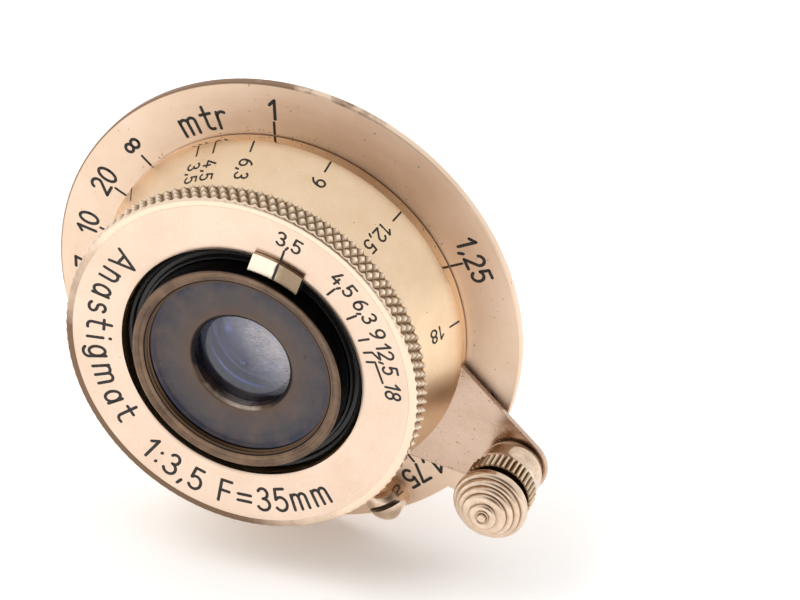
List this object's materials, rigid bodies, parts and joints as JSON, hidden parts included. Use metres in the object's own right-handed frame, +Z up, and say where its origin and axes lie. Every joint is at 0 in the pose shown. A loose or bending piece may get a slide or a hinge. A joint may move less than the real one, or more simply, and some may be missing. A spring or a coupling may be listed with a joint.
{
  "type": "screw-mount wide-angle camera lens",
  "caption": "Small nickel-plated screw-mount camera lens with a distance disc, a locking focus lever and an aperture set from the engraved front ring.",
  "frame": {"origin": "centre of the mount's rear seat, on the optical axis", "axes": "-Y out of the front of the lens along the optical axis, +Z up, +X to the right seen from the front"},
  "size_m": [0.0517, 0.0217, 0.048],
  "materials": {
    "nickel_satin": "satin nickel plate over brass",
    "nickel_bright": "polished nickel plate over brass",
    "bare_brass": "turned brass",
    "spring_steel": "drawn wire",
    "black_enamel": "satin black enamel",
    "bronze_lacquer": "worn brown-black lacquer over brass",
    "blackened_brass": "matt blackened brass",
    "glass": "uncoated optical glass"
  },
  "bodies": {
    "mount": {"mount_tube": "nickel_satin", "distance_disc": "nickel_satin", "end_stop_screw": "nickel_bright", "flange_screws": "nickel_bright", "guide_key": "bare_brass", "key_screw": "nickel_bright"},
    "cam_carrier": {"rangefinder_cam_ring": "bare_brass"},
    "barrel": {"helicoid_barrel": "bare_brass", "cam_retainer": "bare_brass", "depth_scale_ring": "nickel_satin", "focus_lever": "nickel_satin", "lever_screws": "nickel_bright", "knob_collar": "nickel_bright", "button_spring": "spring_steel", "front_ring": "nickel_satin", "head_tube": "blackened_brass", "head_lock_ring": "blackened_brass", "iris_base": "blackened_brass", "front_bezel": "bronze_lacquer", "front_cell": "bronze_lacquer", "front_element": "glass", "middle_cell": "blackened_brass", "middle_element": "glass", "rear_cell": "blackened_brass", "rear_inner_element": "glass", "rear_outer_element": "glass", "rear_retainer": "blackened_brass"},
    "lock_button": {"lock_button": "nickel_bright", "latch_pin": "nickel_bright"},
    "aperture": {"aperture_ring": "black_enamel", "aperture_tab": "nickel_bright", "aperture_drive_screw": "nickel_bright", "iris_drive_ring": "blackened_brass"},
    "blade_1": {"iris_blade_1": "blackened_brass"},
    "blade_2": {"iris_blade_2": "blackened_brass"},
    "blade_3": {"iris_blade_3": "blackened_brass"},
    "blade_4": {"iris_blade_4": "blackened_brass"},
    "blade_5": {"iris_blade_5": "blackened_brass"},
    "blade_6": {"iris_blade_6": "blackened_brass"}
  },
  "joints": [
    {"name": "focus_travel", "type": "slide", "parent": "mount", "child": "cam_carrier", "axis": [0, -1, 0], "range_m": [-0.00003, 0.00128]},
    {"name": "focus_turn", "type": "hinge", "parent": "cam_carrier", "child": "barrel", "pos_m": [0, 0, 0], "axis": [0, -1, 0], "range_deg": [-8, 307.3]},
    {"name": "lock_press", "type": "slide", "parent": "barrel", "child": "lock_button", "axis": [0, 1, 0], "range_m": [0, 0.0008], "stiffness_N_per_m": 250, "springref_m": -0.0015, "deforming": ["button_spring"]},
    {"name": "aperture_turn", "type": "hinge", "parent": "barrel", "child": "aperture", "pos_m": [0, -0.0097, 0], "axis": [0, -1, 0], "range_deg": [-56.4, 0]},
    {"name": "blade_1_turn", "type": "hinge", "parent": "barrel", "child": "blade_1", "pos_m": [0.0087, -0.0083, 0], "axis": [0, -1, 0], "range_deg": [0, 28.82]},
    {"name": "blade_2_turn", "type": "hinge", "parent": "barrel", "child": "blade_2", "pos_m": [0.00435, -0.0083, 0.00753], "axis": [0, -1, 0], "range_deg": [0, 28.82]},
    {"name": "blade_3_turn", "type": "hinge", "parent": "barrel", "child": "blade_3", "pos_m": [-0.00435, -0.0083, 0.00753], "axis": [0, -1, 0], "range_deg": [0, 28.82]},
    {"name": "blade_4_turn", "type": "hinge", "parent": "barrel", "child": "blade_4", "pos_m": [-0.0087, -0.0083, 0], "axis": [0, -1, 0], "range_deg": [0, 28.82]},
    {"name": "blade_5_turn", "type": "hinge", "parent": "barrel", "child": "blade_5", "pos_m": [-0.00435, -0.0083, -0.00753], "axis": [0, -1, 0], "range_deg": [0, 28.82]},
    {"name": "blade_6_turn", "type": "hinge", "parent": "barrel", "child": "blade_6", "pos_m": [0.00435, -0.0083, -0.00753], "axis": [0, -1, 0], "range_deg": [0, 28.82]}
  ],
  "couplings": [
    {"joint": "focus_turn", "follows": "focus_travel", "rad_per_m": 4178.5},
    {"joint": "blade_1_turn", "follows": "aperture_turn", "ratio": -0.51064},
    {"joint": "blade_2_turn", "follows": "aperture_turn", "ratio": -0.51064},
    {"joint": "blade_3_turn", "follows": "aperture_turn", "ratio": -0.51064},
    {"joint": "blade_4_turn", "follows": "aperture_turn", "ratio": -0.51064},
    {"joint": "blade_5_turn", "follows": "aperture_turn", "ratio": -0.51064},
    {"joint": "blade_6_turn", "follows": "aperture_turn", "ratio": -0.51064}
  ]
}
